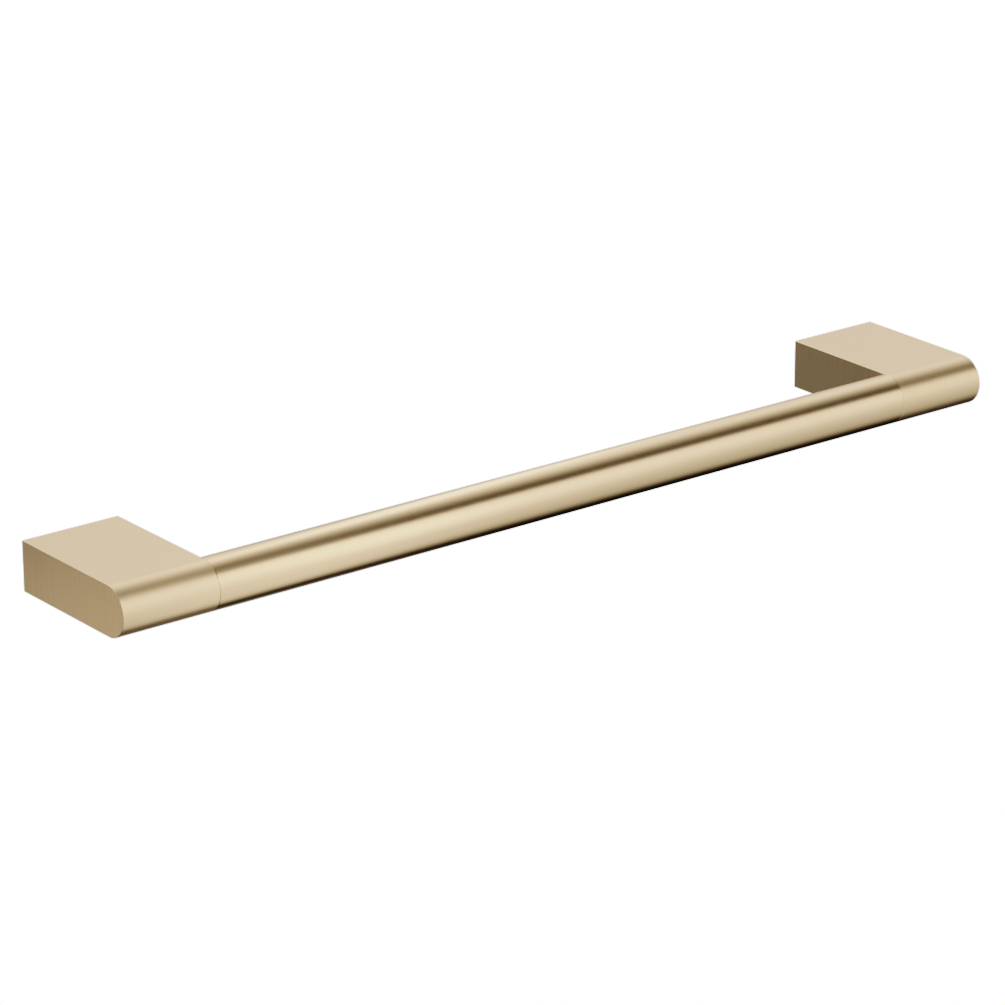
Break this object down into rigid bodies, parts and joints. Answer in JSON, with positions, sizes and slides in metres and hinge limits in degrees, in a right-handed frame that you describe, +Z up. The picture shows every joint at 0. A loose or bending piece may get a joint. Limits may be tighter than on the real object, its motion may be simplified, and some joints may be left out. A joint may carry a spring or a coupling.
{
  "type": "towel rail",
  "caption": "Straight round towel rail flush with the half-round noses of two thick D-section wall posts, with hidden brackets and set screws.",
  "frame": {"origin": "on the wall plane, midway between the two posts and at their mid height", "axes": "+X along the tube to the viewer's right, +Y into the wall, +Z up"},
  "size_m": [0.5, 0.08, 0.024],
  "materials": {
    "brushed_gold": "fine brushed satin",
    "turned_brass": "turned",
    "bracket_steel": "rolled stainless sheet",
    "screw_steel": "machined stainless"
  },
  "bodies": {
    "root": {"left_lock_screw": "screw_steel", "left_post": "brushed_gold", "left_rail_spigot": "turned_brass", "left_spigot_screw": "screw_steel", "left_wall_bracket": "bracket_steel", "rail_tube": "brushed_gold", "right_lock_screw": "screw_steel", "right_post": "brushed_gold", "right_rail_spigot": "turned_brass", "right_spigot_screw": "screw_steel", "right_wall_bracket": "bracket_steel"}
  },
  "joints": []
}
